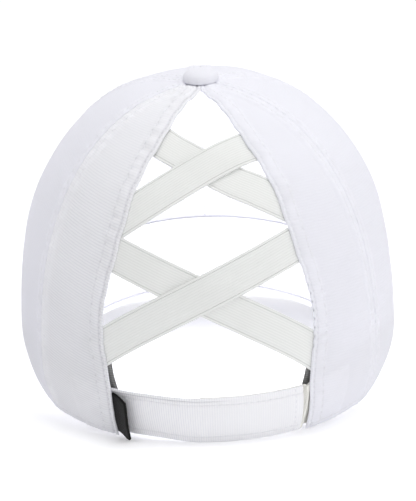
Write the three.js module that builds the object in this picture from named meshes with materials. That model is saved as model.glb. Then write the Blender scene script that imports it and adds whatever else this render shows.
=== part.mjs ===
// A ponytail baseball cap: a six-panel crown whose back panels are cut away in a tall arch, two pairs of crossed elastic
// straps over that gap, a hook-and-loop closure at the rim, a sweatband, a covered button and a curved brim.
// Millimetres, +Z up. The brim points along +Y and the closure faces -Y.
import * as THREE from "three";
import { mergeVertices } from "three/addons/utils/BufferGeometryUtils.js";

// Crown
const crownHalfWidth = 85;
const crownBackDepth = 94;
const crownFrontDepth = 102;
const crownHeight = 138;
const bulgeHeight = 27; // level of the widest ring above the back rim
const frontArch = 5; // how much higher the rim is at the front, where the brim joins
const rimTuck = 0.09; // share by which the rim is drawn in below the widest ring
const frontTuck = 0.03; // the same at the front
const sideRoundness = 2.4; // exponents of the crown's profile: 2 is an ellipse, more is squarer
const backRoundness = 2.1;
const frontRoundness = 2.45;
const clothWall = 1.2;
const seamGap = 0.3; // between pieces that are sewn edge to edge
const layerGap = 0.6; // between curved layers that lie on each other

// Ponytail opening in the two back panels
const openingBearing = THREE.MathUtils.degToRad(33); // half of its widest spread
const openingTopRadius = 11.4; // from the crown's axis to the top of the arch

// Elastic straps
const elasticWidth = 16;
const elasticWall = 1;
const elasticTuck = 8; // length sewn in behind each panel edge

// Closure at the back rim
const closureHeight = 24;
const closureWall = 1.2;
const closureRimInset = 0.6; // from the crown's rim level up to the strap's lower edge
const closureTuck = 17; // length sewn in behind the panels, at the strap's left end and at the tab's right end
const closureShow = 2.4; // length of the tab seen between the strap's free end and the right panel
const closureOverlap = 53; // length of the tab under the strap
const strapClimb = 28; // length over which the strap climbs onto the tab
const tabWall = 1;
const settle = 0.3; // depth to which the strap's lower edge is pressed flat where the cap rests on it

// Sweatband
const bandHeight = 33;
const bandWall = 1.2;
const bandRimInset = 1.5;
const bandShow = 4; // length of each end seen past the edge of its panel
const bandCut = 0.8; // share of that length cut off at the upper corner
const bandEase = 20; // length over which the band comes back to the crown's wall, past what is sewn in

// Folded side label
const labelWidth = 7.5;
const labelHeight = 20;
const labelWall = 1.2;
const labelRimInset = 2.2;
const labelFlare = 3.6; // how far its free edge stands out
const labelDroop = 2; // how much lower its free edge hangs
const labelCurl = 1.5; // exponent of its flare: 1 is flat, more curls outwards

// Button
const buttonRadius = 8.6;
const buttonHeight = 4.8;
const shankRadius = 3;
const shankLength = 2.8;

// Brim
const brimLength = 70;
const brimHalfWidth = 87;
const brimWall = 3;
const brimSpan = THREE.MathUtils.degToRad(75); // from the front centre to the brim's corner
const brimBend = 146.5; // radius to which the flat brim is bent
const brimSlope = THREE.MathUtils.degToRad(14.6); // fall of its centre line from the rim's plane
const brimRoundness = 2.3; // exponent of its outline in plan
const brimCornerTuck = 0.08; // share by which the outline draws in at the corners
const brimCornerReach = 8; // exponent of that drawing in: more keeps it nearer the corners

// Outline of the opening's right edge. height is a share of the arch above the widest ring, or of the way down to the
// rim where it is negative, and spread is a share of openingBearing.
const OPENING_EDGE = [
  { height: -1, spread: 0.955 },
  { height: -0.5, spread: 0.921 },
  { height: 0, spread: 0.927 },
  { height: 0.075, spread: 0.976 },
  { height: 0.14, spread: 1 },
  { height: 0.215, spread: 0.988 },
  { height: 0.296, spread: 0.945 },
  { height: 0.414, spread: 0.897 },
  { height: 0.548, spread: 0.861 },
  { height: 0.677, spread: 0.758 },
  { height: 0.763, spread: 0.682 },
  { height: 0.86, spread: 0.591 },
  { height: 0.935, spread: 0.424 },
  { height: 1, spread: 0 },
];

// Rows of corners in a crown panel, as heights of the table above. One more row lies at the hole for the button.
const PANEL_ROWS = [-1, -0.7, -0.4, -0.15, 0, 0.08, 0.16, 0.25, 0.35, 0.45, 0.55, 0.65, 0.745, 0.83, 0.895, 0.95, 1];

// Middle line of each elastic strap, as its rise on the crown at the left edge, the centre and the right edge of the
// opening: 0 is the widest ring and 1 the apex.
const ELASTICS = [
  { name: "elastic_upper_under", over: false, left: 0.668, centre: 0.592, right: 0.454 },
  { name: "elastic_upper_over", over: true, left: 0.433, centre: 0.592, right: 0.647 },
  { name: "elastic_lower_under", over: false, left: 0.315, centre: 0.226, right: 0.06 },
  { name: "elastic_lower_over", over: true, left: 0.082, centre: 0.244, right: 0.328 },
];

// Columns and rows of flat faces in each piece
const panelColumns = 6;
const elasticColumns = 16;
const closureColumns = 20;
const tabColumns = 14;
const bandColumns = 50;
const brimColumns = 26;
const brimRows = 5;
const labelFaces = 4;
const buttonSides = 20;
const buttonRings = 5;

const QUARTER = Math.PI / 2;
const panelAngle = Math.PI / 3; // three panels on each side
const buttonHoleRadius = shankRadius + seamGap;
const tuckedDepth = clothWall + layerGap; // outer face of what is sewn in behind a panel
const underDepth = tuckedDepth + elasticWall + layerGap; // outer face of the straps that pass under the others
const bandDepth = tuckedDepth + seamGap;
const bandEndDepth = underDepth + Math.max(elasticWall, closureWall) + layerGap;

const crownCloth = new THREE.MeshStandardMaterial({ color: 0xe8e8ee, roughness: 0.9, metalness: 0 });
const elasticCloth = new THREE.MeshStandardMaterial({ color: 0xe6e7e5, roughness: 0.85, metalness: 0 });
const loopCloth = new THREE.MeshStandardMaterial({ color: 0xe6e6e0, roughness: 1, metalness: 0 });
const bandCloth = new THREE.MeshStandardMaterial({ color: 0x575755, roughness: 0.9, metalness: 0 });
const labelCloth = new THREE.MeshStandardMaterial({ color: 0x232321, roughness: 0.6, metalness: 0 });

// Exponent of the crown's profile at a bearing, which is 0 at the back and a quarter turn at the right.
function roundnessAt(bearing) {
  const side = Math.sin(bearing) ** 2;
  return sideRoundness * side + (Math.cos(bearing) > 0 ? backRoundness : frontRoundness) * (1 - side);
}

function rimHeight(bearing) {
  return frontArch * Math.min(Math.cos(bearing), 0) ** 2;
}

// Point of the widest ring, or of that ring drawn in towards the axis.
function ringPoint(bearing, drawnTo, height) {
  const depth = Math.cos(bearing) > 0 ? crownBackDepth : crownFrontDepth;
  const x = crownHalfWidth * Math.sin(bearing) * drawnTo;
  const y = -depth * Math.cos(bearing) * drawnTo;
  return new THREE.Vector3(x, y, height);
}

// Point of the crown's outer face. rise is -1 at the rim, 0 at the widest ring and 1 at the apex.
function onCrown(bearing, rise) {
  if (rise <= 0) {
    const height = bulgeHeight + (bulgeHeight - rimHeight(bearing)) * rise;
    const tuck = THREE.MathUtils.lerp(rimTuck, frontTuck, Math.min(Math.cos(bearing), 0) ** 2);
    return ringPoint(bearing, 1 - tuck * rise * rise, height);
  }
  const power = 2 / roundnessAt(bearing);
  const turn = rise * QUARTER;
  const height = bulgeHeight + (crownHeight - bulgeHeight) * Math.sin(turn) ** power;
  return ringPoint(bearing, Math.cos(turn) ** power, height);
}

// Directions in which bearing and rise grow, per unit of each.
function crownSlopes(bearing, rise) {
  const step = 1e-3;
  const along = onCrown(bearing + step, rise).sub(onCrown(bearing - step, rise));
  const up = onCrown(bearing, rise + step).sub(onCrown(bearing, rise - step));
  return { along: along.divideScalar(2 * step), up: up.divideScalar(2 * step) };
}

function crownNormal(bearing, rise) {
  const { along, up } = crownSlopes(bearing, rise);
  return along.cross(up).normalize();
}

// Point under the crown's outer face, or over it where depth is negative.
function inCrown(bearing, rise, depth) {
  return onCrown(bearing, rise).addScaledVector(crownNormal(bearing, rise), -depth);
}

function riseAtHeight(bearing, height) {
  if (height <= bulgeHeight) return (height - bulgeHeight) / (bulgeHeight - rimHeight(bearing));
  const share = (height - bulgeHeight) / (crownHeight - bulgeHeight);
  return Math.asin(Math.min(share, 1) ** (roundnessAt(bearing) / 2)) / QUARTER;
}

function riseAtRadius(bearing, radius) {
  const share = radius / ringPoint(bearing, 1, 0).length();
  return Math.acos(Math.min(share, 1) ** (roundnessAt(bearing) / 2)) / QUARTER;
}

// Bearing that a length along the crown takes up, at the rim's level.
function bearingOf(length) {
  return length / crownBackDepth;
}

const openingTopRise = riseAtRadius(0, openingTopRadius);

function riseOfRow(height) {
  return height > 0 ? height * openingTopRise : height;
}

// Bearing of the opening's edge, on a smooth curve through the rows of its table.
function edgeBearing(rise) {
  const height = rise > 0 ? rise / openingTopRise : rise;
  if (height >= 1) return 0;
  const last = OPENING_EDGE.length - 1;
  const low = Math.max(OPENING_EDGE.findLastIndex((row) => row.height <= height), 0);
  const row = (i) => OPENING_EDGE[THREE.MathUtils.clamp(i, 0, last)];
  const slope = (i) => (row(i + 1).spread - row(i - 1).spread) / (row(i + 1).height - row(i - 1).height);
  const span = row(low + 1).height - row(low).height;
  const t = (height - row(low).height) / span;
  const start = row(low).spread + slope(low) * span * t * (1 - t);
  const end = row(low + 1).spread - slope(low + 1) * span * t * (1 - t);
  return openingBearing * THREE.MathUtils.lerp(start, end, t);
}

// Closed sheet whose grid of corners is put in place by a function of the shares across, up and outwards.
function sheet(name, cloth, columns, rows, place) {
  const grid = new THREE.BoxGeometry(1, 1, 1, columns, rows, 1).translate(0.5, 0.5, 0.5);
  grid.deleteAttribute("normal");
  grid.deleteAttribute("uv");
  const shape = mergeVertices(grid);
  const corners = shape.getAttribute("position");
  for (let i = 0; i < corners.count; i++) {
    const point = place(corners.getX(i), corners.getY(i), corners.getZ(i));
    corners.setXYZ(i, point.x, point.y, point.z);
  }
  shape.computeVertexNormals();
  const mesh = new THREE.Mesh(shape, cloth);
  mesh.name = name;
  return mesh;
}

// Crown panel between two bearings, which are functions of the rise. Its top ends at the hole for the button.
function crownPanel(name, startBearing, endBearing) {
  const rows = PANEL_ROWS.length;
  return sheet(name, crownCloth, panelColumns, rows, (across, up, outwards) => {
    const row = Math.round(up * rows);
    const rowRise = (bearing) =>
      row < rows ? riseOfRow(PANEL_ROWS[row]) : riseAtRadius(bearing, buttonHoleRadius);
    const gap = (bearing) => seamGap / 2 / onCrown(bearing, rowRise(bearing)).setZ(0).length();
    const start = startBearing(rowRise(startBearing(0)));
    const end = endBearing(rowRise(endBearing(0)));
    const bearing = THREE.MathUtils.lerp(start + gap(start), end - gap(end), across);
    return inCrown(bearing, rowRise(bearing), clothWall * (1 - outwards));
  });
}

// Nearest point of the crown to a target close by, as bearing and rise.
function nearestOnCrown(target, bearing, rise) {
  const place = { bearing, rise };
  for (let round = 0; round < 4; round++) {
    const { along, up } = crownSlopes(place.bearing, place.rise);
    const miss = target.clone().sub(onCrown(place.bearing, place.rise));
    const mixed = along.dot(up);
    const area = along.lengthSq() * up.lengthSq() - mixed * mixed;
    place.bearing += (miss.dot(along) * up.lengthSq() - miss.dot(up) * mixed) / area;
    place.rise += (miss.dot(up) * along.lengthSq() - miss.dot(along) * mixed) / area;
  }
  return place;
}

// Elastic strap laid over the crown's form, with its ends behind the panels. An under strap lies a layer deeper.
function elasticStrap({ name, over, left, centre, right }) {
  const leftBearing = -edgeBearing(left);
  const rightBearing = edgeBearing(right);
  const tuck = bearingOf(elasticTuck);
  const riseAt = (bearing) => {
    const fromLeft = (bearing - leftBearing) / -leftBearing;
    const fromRight = (rightBearing - bearing) / rightBearing;
    const width = rightBearing - leftBearing;
    const leftShare = (bearing * (bearing - rightBearing)) / (leftBearing * -width);
    const rightShare = (bearing * (bearing - leftBearing)) / (rightBearing * width);
    return left * leftShare + centre * fromLeft * fromRight + right * rightShare;
  };
  const step = 1e-3;
  return sheet(name, elasticCloth, elasticColumns, 2, (across, up, outwards) => {
    const bearing = THREE.MathUtils.lerp(leftBearing - tuck, rightBearing + tuck, across);
    const rise = riseAt(bearing);
    const heading = onCrown(bearing + step, riseAt(bearing + step)).sub(onCrown(bearing, rise));
    const aside = crownNormal(bearing, rise).cross(heading).normalize();
    const target = onCrown(bearing, rise).addScaledVector(aside, elasticWidth * (up - 0.5));
    const place = nearestOnCrown(target, bearing, rise);
    const depth = over ? tuckedDepth : underDepth;
    return inCrown(place.bearing, place.rise, depth + elasticWall * (1 - outwards));
  });
}

const rimEdge = edgeBearing(-1);
const strapEnd = rimEdge - bearingOf(closureShow);
const tabEnd = strapEnd - bearingOf(closureOverlap);
const strapLiftStart = tabEnd - bearingOf(strapClimb);
const backBottom = inCrown(0, riseAtHeight(0, closureRimInset), 0);

// Local height of the floor under a point, once the cap rests on its strap and its brim.
function floorHeight(y, tilt) {
  return backBottom.z + settle - (y - backBottom.y) * Math.tan(tilt);
}

// Outer strap of the closure. It comes out from behind the left panel and lies over the tab.
function closureStrap(tilt) {
  return sheet("closure_strap", crownCloth, closureColumns, 3, (across, up, outwards) => {
    const bearing = THREE.MathUtils.lerp(-rimEdge - bearingOf(closureTuck), strapEnd, across);
    const rise = riseAtHeight(bearing, closureRimInset + closureHeight * up);
    const lift = (closureWall + layerGap) * THREE.MathUtils.smoothstep(bearing, strapLiftStart, tabEnd);
    const depth = tuckedDepth - lift;
    const point = inCrown(bearing, rise, depth + closureWall * (1 - outwards));
    if (up === 0) point.z = Math.max(inCrown(bearing, rise, depth).z, floorHeight(point.y, tilt));
    return point;
  });
}

// Loop tab that the strap is fastened to. It comes out from behind the right panel.
function closureTab() {
  return sheet("closure_tab", loopCloth, tabColumns, 2, (across, up, outwards) => {
    const bearing = THREE.MathUtils.lerp(tabEnd, rimEdge + bearingOf(closureTuck), across);
    const rise = riseAtHeight(bearing, closureRimInset + seamGap + closureHeight * up);
    return inCrown(bearing, rise, tuckedDepth + tabWall * (1 - outwards));
  });
}

// Sweatband round the inside of the rim, from one side of the closure to the other. Its end corners are cut back, and
// its ends pass inside all that is sewn in behind the back panels.
function sweatband() {
  const clear = rimEdge + bearingOf(closureTuck + bandShow);
  return sheet("sweatband", bandCloth, bandColumns, 3, (across, up, outwards) => {
    const cut = bandCut * THREE.MathUtils.smoothstep(up, 0.5, 1);
    const end = rimEdge - bearingOf(bandShow) * (1 - cut);
    const bearing = THREE.MathUtils.lerp(end, 2 * Math.PI - end, across);
    const height = rimHeight(bearing) + bandRimInset + bandHeight * up;
    const nearest = Math.min(bearing, 2 * Math.PI - bearing);
    const inwards = 1 - THREE.MathUtils.smoothstep(nearest, clear, clear + bearingOf(bandEase));
    const depth = THREE.MathUtils.lerp(bandDepth, bandEndDepth, inwards);
    return inCrown(bearing, riseAtHeight(bearing, height), depth + bandWall * (1 - outwards));
  });
}

// Folded label sewn in at the edge of the left panel, with its free edge standing out over the strap.
function sideLabel(tilt) {
  return sheet("side_label", labelCloth, labelFaces, labelFaces, (across, up, outwards) => {
    const height = labelRimInset + labelHeight * up - labelDroop * across;
    const rise = riseAtHeight(-rimEdge, height);
    const start = -edgeBearing(rise) + bearingOf(seamGap);
    const bearing = start + bearingOf(labelWidth) * across;
    const point = inCrown(bearing, rise, labelWall * (1 - outwards) - labelFlare * across ** labelCurl);
    point.z = Math.max(point.z, floorHeight(point.y, tilt) + seamGap);
    return point;
  });
}

// Covered button on top of the crown, with a shank through the hole where the panels meet.
function button() {
  const dome = new THREE.EllipseCurve(0, 0, buttonRadius, buttonHeight, 0, QUARTER).getPoints(buttonRings);
  const profile = [
    new THREE.Vector2(0, -shankLength),
    new THREE.Vector2(shankRadius, -shankLength),
    new THREE.Vector2(shankRadius, 0),
    ...dome.map((point) => new THREE.Vector2(Math.max(point.x, 0), point.y)),
  ];
  profile[profile.length - 1].x = 0;
  const shape = new THREE.LatheGeometry(profile, buttonSides).rotateX(QUARTER);
  const mesh = new THREE.Mesh(shape, crownCloth);
  mesh.name = "button";
  mesh.position.z = crownHeight + seamGap;
  return mesh;
}

const rimFront = onCrown(Math.PI, -1);
const brimCorner = onCrown(Math.PI - brimSpan, -1);

// Height of the bent sheet that the brim's upper face is cut from.
function bentSheet(x, y) {
  const sag = brimBend - Math.sqrt(brimBend * brimBend - x * x);
  return rimFront.z - seamGap - Math.tan(brimSlope) * (y - rimFront.y) - sag;
}

// Point of the brim. side runs from -1 at the left corner to 1 at the right, and out from 0 at the rim to 1.
function onBrim(side, out, depth) {
  const root = inCrown(Math.PI - side * brimSpan, -1, clothWall);
  const rootHeight = rimHeight(Math.PI - side * brimSpan) - seamGap;
  const turn = side * QUARTER;
  const power = 2 / brimRoundness;
  const forward = rimFront.y + brimLength - brimCorner.y - seamGap;
  const drawIn = 1 - brimCornerTuck * Math.abs(side) ** brimCornerReach;
  const edgeX = brimHalfWidth * Math.sign(turn) * Math.abs(Math.sin(turn)) ** power * drawIn;
  const edgeY = brimCorner.y + seamGap + forward * Math.max(Math.cos(turn), 0) ** power;
  const x = THREE.MathUtils.lerp(root.x, edgeX, out);
  const y = THREE.MathUtils.lerp(root.y, edgeY, out);
  const z = bentSheet(x, y) + (rootHeight - bentSheet(root.x, root.y)) * (1 - out);
  const fall = x / Math.sqrt(brimBend * brimBend - x * x);
  const normal = new THREE.Vector3(fall, Math.tan(brimSlope), 1).normalize();
  return new THREE.Vector3(x, y, z).addScaledVector(normal, -depth);
}

function brim() {
  return sheet("brim", crownCloth, brimColumns, brimRows, (across, up, outwards) =>
    onBrim(2 * across - 1, up, brimWall * (1 - outwards)),
  );
}

// Tilt at which the cap rests on the flattened edge of its strap and on the lowest points of its brim.
function restTilt() {
  let tilt = 0;
  for (let column = 0; column <= brimColumns; column++) {
    for (let row = 1; row <= brimRows; row++) {
      const low = onBrim((2 * column) / brimColumns - 1, row / brimRows, brimWall);
      tilt = Math.max(tilt, Math.atan2(backBottom.z + settle - low.z, low.y - backBottom.y));
    }
  }
  return tilt;
}

const cap = new THREE.Group();
const seam = (count) => () => count * panelAngle;
cap.add(
  crownPanel("back_panel_right", edgeBearing, seam(1)),
  crownPanel("side_panel_right", seam(1), seam(2)),
  crownPanel("front_panel_right", seam(2), seam(3)),
  crownPanel("front_panel_left", seam(-3), seam(-2)),
  crownPanel("side_panel_left", seam(-2), seam(-1)),
  crownPanel("back_panel_left", seam(-1), (rise) => -edgeBearing(rise)),
);
cap.add(...ELASTICS.map(elasticStrap));
const tilt = restTilt();
cap.add(closureStrap(tilt), closureTab(), sweatband(), sideLabel(tilt), button(), brim());
cap.rotation.x = tilt;

// The finished part stands on the floor, with its origin under the middle of its box.
const part = new THREE.Group();
part.add(cap);
const box = new THREE.Box3().setFromObject(part, true);
const centre = box.getCenter(new THREE.Vector3());
cap.position.set(-centre.x, -centre.y, -box.min.z);

export default part;
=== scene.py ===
import math

import bpy
import numpy as np
from mathutils import Matrix, Vector
from mathutils.noise import noise


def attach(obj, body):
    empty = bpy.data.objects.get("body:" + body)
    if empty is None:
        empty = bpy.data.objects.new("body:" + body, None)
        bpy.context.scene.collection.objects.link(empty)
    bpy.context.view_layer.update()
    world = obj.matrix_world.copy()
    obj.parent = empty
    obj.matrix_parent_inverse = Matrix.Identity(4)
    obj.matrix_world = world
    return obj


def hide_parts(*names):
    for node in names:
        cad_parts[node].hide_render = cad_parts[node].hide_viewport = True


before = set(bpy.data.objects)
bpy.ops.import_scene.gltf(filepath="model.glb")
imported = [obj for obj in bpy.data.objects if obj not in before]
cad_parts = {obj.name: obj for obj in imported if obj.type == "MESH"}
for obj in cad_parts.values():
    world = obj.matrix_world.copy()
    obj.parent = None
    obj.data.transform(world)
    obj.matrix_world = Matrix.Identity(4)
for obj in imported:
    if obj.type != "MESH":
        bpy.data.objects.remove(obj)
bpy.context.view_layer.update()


# Camera. A long lens stands behind the cap and a little above it, and leans a little clockwise, which is why
# the cap seems to lean to the left. The photograph's frame is 416 by 501 pixels.
MM = 0.001
FRAME_HEIGHT = 501
SENSOR_MILLIMETRES = 36
CAMERA_TARGET = Vector((0, -36.64 * MM, 58.9 * MM))
CAMERA_ELEVATION = math.radians(13.42)
CAMERA_LEAN = math.radians(1.79)
CAMERA_DISTANCE = 1.3
LENS_PIXELS = 2847
TARGET_LEFT_OF_CENTRE = 1.64
TARGET_BELOW_CENTRE = 12.55

view_back = Vector((0, -math.cos(CAMERA_ELEVATION), math.sin(CAMERA_ELEVATION)))
lean = Matrix.Rotation(-CAMERA_LEAN, 3, "Z")
camera_turn = view_back.to_track_quat("Z", "Y").to_matrix() @ lean
pixel = CAMERA_DISTANCE / LENS_PIXELS
aim_shift = camera_turn @ Vector((TARGET_LEFT_OF_CENTRE * pixel, TARGET_BELOW_CENTRE * pixel, 0))
bpy.ops.object.camera_add(location=CAMERA_TARGET + aim_shift + view_back * CAMERA_DISTANCE)
camera = bpy.context.active_object
camera.name = "camera"
camera.rotation_euler = camera_turn.to_euler()
camera.data.sensor_width = SENSOR_MILLIMETRES
camera.data.lens = SENSOR_MILLIMETRES * LENS_PIXELS / FRAME_HEIGHT
bpy.context.scene.camera = camera


# Floor and light. A plain table of matt opal glass, weakly lit from below, with no edge in view, in a white
# studio tent that is dimmer on the left. A big soft lamp stands at the right, one hangs overhead and one
# stands beyond the brim. A small lamp inside the cap lights its inner side.
FLOOR_SIZE = 12
FLOOR_COLOUR = "#F4F4F6"
FLOOR_GLOW = 0.24
SURROUND_LEFT = 0.44
SURROUND_RIGHT = 0.62
LAMP_TARGET = (0, -0.02, 0.07)
INNER_TARGET = (0, 0.06, 0.065)


def linear(colour):
    """Turns an sRGB hex colour to the linear RGBA that a shader takes."""
    shares = [int(colour[i : i + 2], 16) / 255 for i in (1, 3, 5)]
    return (*(c / 12.92 if c <= 0.04045 else ((c + 0.055) / 1.055) ** 2.4 for c in shares), 1)


def add_node(material, kind, inputs=(), **settings):
    """Adds one node. inputs has a value for each socket, by name or number or in order. A value may be
    another node's output, or a node, whose first output is meant."""
    made = material.node_tree.nodes.new(f"ShaderNode{kind}")
    for name, value in settings.items():
        setattr(made, name, value)
    for name, value in inputs.items() if isinstance(inputs, dict) else enumerate(inputs):
        if isinstance(value, bpy.types.Node):
            value = value.outputs[0]
        if isinstance(value, bpy.types.NodeSocket):
            material.node_tree.links.new(value, made.inputs[name])
        else:
            made.inputs[name].default_value = value
    return made


def new_material(name):
    """An empty node material."""
    material = bpy.data.materials.new(name)
    material.use_nodes = True
    material.node_tree.nodes.clear()
    return material


def add_lamp(name, place, target, size, power):
    """A square soft lamp that faces its target."""
    bpy.ops.object.light_add(type="AREA", location=place)
    lamp = bpy.context.active_object
    lamp.name = name
    lamp.data.size = size
    lamp.data.energy = power
    lamp.rotation_euler = (Vector(place) - Vector(target)).to_track_quat("Z", "Y").to_euler()
    return lamp


bpy.ops.mesh.primitive_plane_add(size=FLOOR_SIZE)
floor = bpy.context.active_object
floor.name = "floor"
opal = new_material("opal_light_table")
opal_look = {"Base Color": linear(FLOOR_COLOUR), "Roughness": 0.9, "Specular IOR Level": 0.2}
opal_look |= {"Emission Color": (1, 1, 1, 1), "Emission Strength": FLOOR_GLOW}
opal_shader = add_node(opal, "BsdfPrincipled", opal_look)
add_node(opal, "OutputMaterial", {"Surface": opal_shader})
floor.data.materials.append(opal)

add_lamp("key_lamp", (1.4, -0.9, 0.9), LAMP_TARGET, size=1.2, power=4.6)
add_lamp("top_lamp", (0, -0.1, 1.8), LAMP_TARGET, size=1.6, power=18)
add_lamp("far_lamp", (-0.9, 1.5, 0.8), LAMP_TARGET, size=1.4, power=3)
inner_lamp = add_lamp("inner_lamp", (0, -0.08, 0.05), INNER_TARGET, size=0.06, power=0.11)
inner_lamp.visible_camera = False

world = bpy.data.worlds.new("surround")
bpy.context.scene.world = world
world.use_nodes = True
surround_at = add_node(world, "TexCoord")
surround_axes = add_node(world, "SeparateXYZ", [surround_at])
surround = add_node(world, "MapRange", [surround_axes.outputs["X"], -1, 1, SURROUND_LEFT, SURROUND_RIGHT])
world.node_tree.nodes["Background"].inputs["Color"].default_value = (1, 1, 1, 1)
world.node_tree.links.new(surround.outputs[0], world.node_tree.nodes["Background"].inputs["Strength"])
bpy.context.scene.view_settings.view_transform = "Standard"


# Crown form. The crown's cloth follows one smooth form: round at the rim, fullest a little above it and
# closed at the top. Bearing goes round it, 0 at the back and a quarter turn at the right. Rise goes up it,
# -1 at the rim, 0 at the fullest ring and 1 at the top. The cap stands tilted back on its rim and the two
# sides of its brim.
CROWN_HALF_WIDTH = 85 * MM
CROWN_BACK_DEPTH = 94 * MM
CROWN_FRONT_DEPTH = 102 * MM
CROWN_HEIGHT = 138 * MM
BULGE_HEIGHT = 27 * MM
FRONT_ARCH = 5 * MM
RIM_TUCK = 0.09
FRONT_TUCK = 0.03
SIDE_ROUNDNESS = 2.4
BACK_ROUNDNESS = 2.1
FRONT_ROUNDNESS = 2.45
CAP_TILT = math.radians(6.531)
CAP_PLACE = np.array((0, -36.642, 8.878)) * MM
QUARTER = math.pi / 2


def to_row(points):
    """Cap coordinates to the row's frame: tilted and moved to where the cap stands."""
    x, y, z = np.asarray(points).T
    over, up = math.cos(CAP_TILT), math.sin(CAP_TILT)
    return np.stack((x, y * over - z * up, y * up + z * over), -1) + CAP_PLACE


def roundness_at(bearing):
    side = np.sin(bearing) ** 2
    return SIDE_ROUNDNESS * side + np.where(np.cos(bearing) > 0, BACK_ROUNDNESS, FRONT_ROUNDNESS) * (1 - side)


def front_share(bearing):
    return np.minimum(np.cos(bearing), 0) ** 2


def on_crown(bearing, rise):
    """Points of the crown's outer face."""
    bearing, rise = np.broadcast_arrays(np.asarray(bearing, float), np.asarray(rise, float))
    power = 2 / roundness_at(bearing)
    high = np.clip(rise, 0, 1) * QUARTER
    low = np.minimum(rise, 0)
    tuck = RIM_TUCK + (FRONT_TUCK - RIM_TUCK) * front_share(bearing)
    drawn = np.where(rise > 0, np.cos(high) ** power, 1 - tuck * low**2)
    below = BULGE_HEIGHT + (BULGE_HEIGHT - FRONT_ARCH * front_share(bearing)) * low
    height = np.where(rise > 0, BULGE_HEIGHT + (CROWN_HEIGHT - BULGE_HEIGHT) * np.sin(high) ** power, below)
    depth = np.where(np.cos(bearing) > 0, CROWN_BACK_DEPTH, CROWN_FRONT_DEPTH)
    x, y = CROWN_HALF_WIDTH * np.sin(bearing), -depth * np.cos(bearing)
    return np.stack((x * drawn, y * drawn, height), -1)


def crown_slopes(bearing, rise):
    """How far a point moves per unit of bearing and per unit of rise."""
    step = 1e-4
    along = (on_crown(bearing + step, rise) - on_crown(bearing - step, rise)) / (2 * step)
    up = (on_crown(bearing, rise + step) - on_crown(bearing, rise - step)) / (2 * step)
    return along, up


def unit(vectors):
    return vectors / np.maximum(np.linalg.norm(vectors, axis=-1, keepdims=True), 1e-12)


def crown_normal(bearing, rise):
    along, up = crown_slopes(bearing, rise)
    return unit(np.cross(along, up))


def off_crown(bearing, rise, stand):
    """Points that stand off the crown's outer face by a length, inside it where that is negative."""
    return on_crown(bearing, rise) + crown_normal(bearing, rise) * np.asarray(stand)[..., None]


def rise_at_height(bearing, height):
    below = (height - BULGE_HEIGHT) / (BULGE_HEIGHT - FRONT_ARCH * front_share(bearing))
    share = np.clip((height - BULGE_HEIGHT) / (CROWN_HEIGHT - BULGE_HEIGHT), 0, 1)
    return np.where(height <= BULGE_HEIGHT, below, np.arcsin(share ** (roundness_at(bearing) / 2)) / QUARTER)


def rise_at_radius(bearing, radius):
    ring = np.linalg.norm(on_crown(bearing, 0.0)[..., :2], axis=-1)
    return np.arccos((radius / ring) ** (roundness_at(bearing) / 2)) / QUARTER


def smooth(value, low, high):
    """0 below low, 1 above high and smooth between them."""
    share = np.clip((value - low) / (high - low), 0, 1)
    return share * share * (3 - 2 * share)


# Ponytail opening. Its two edges are mirror images. Each row is a height, as a share of the arch above the
# fullest ring or of the way down to the rim where it is negative, and the edge's spread there as a share of
# the widest.
OPENING_BEARING = math.radians(33)
OPENING_TOP_RADIUS = 11.4 * MM
OPENING_TOP_RISE = float(rise_at_radius(np.array(0.0), OPENING_TOP_RADIUS))
OPENING_ROWS = [
    (-1, 0.955),
    (-0.5, 0.921),
    (0, 0.927),
    (0.075, 0.976),
    (0.14, 1),
    (0.215, 0.988),
    (0.296, 0.945),
    (0.414, 0.897),
    (0.548, 0.861),
    (0.677, 0.758),
    (0.763, 0.682),
    (0.86, 0.591),
    (0.935, 0.424),
    (1, 0),
]


def edge_bearing(rise):
    """Bearing of the opening's right edge, on a smooth curve through the rows of its table."""
    rise = np.asarray(rise, float)
    height = np.clip(np.where(rise > 0, rise / OPENING_TOP_RISE, rise), -1, 1)
    heights, spreads = np.array(OPENING_ROWS).T
    last = len(heights) - 1
    low = np.clip(np.searchsorted(heights, height, side="right") - 1, 0, last - 1)

    def slope(row):
        after, before = np.minimum(row + 1, last), np.maximum(row - 1, 0)
        return (spreads[after] - spreads[before]) / (heights[after] - heights[before])

    span = heights[low + 1] - heights[low]
    share = (height - heights[low]) / span
    start = spreads[low] + slope(low) * span * share * (1 - share)
    end = spreads[low + 1] - slope(low + 1) * span * share * (1 - share)
    return OPENING_BEARING * (start + (end - start) * share)


# Crown cloth panels. Six panels of white ottoman, a woven polyester with fine round ribs across it, sewn
# edge to edge from the button down, with each seam pressed open and stitched down on both sides. The two
# back panels are cut away for the opening, and that edge is turned in over a facing and stitched twice.
CLOTH_WALL = 1.2 * MM
SEAM_GAP = 0.3 * MM
PANEL_GAP = 0.02 * MM
PANEL_TURN = math.pi / 3
BUTTON_HOLE = 3.3 * MM
RIGHT_EASE = 1.2 * MM
SEAM_ROLL = 0.28 * MM
HEM_ROLL = 0.7 * MM
SEAM_STITCH = 3.0 * MM
SEAM_ALLOWANCE = 5.4 * MM
HEM_DEPTH = 7.8 * MM
HEM_STITCHES = (1.9 * MM, 6.8 * MM)
RIM_STITCH = 3.4 * MM
STITCH_BED = 0.42 * MM
DOUBLED_STAND = 0.34 * MM
PATCH_HEIGHT = 27.3 * MM
PATCH_BEARING = math.radians(45.5)
MIDDLE_COLUMNS = 40
ROW_SPACING = 0.95 * MM

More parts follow.
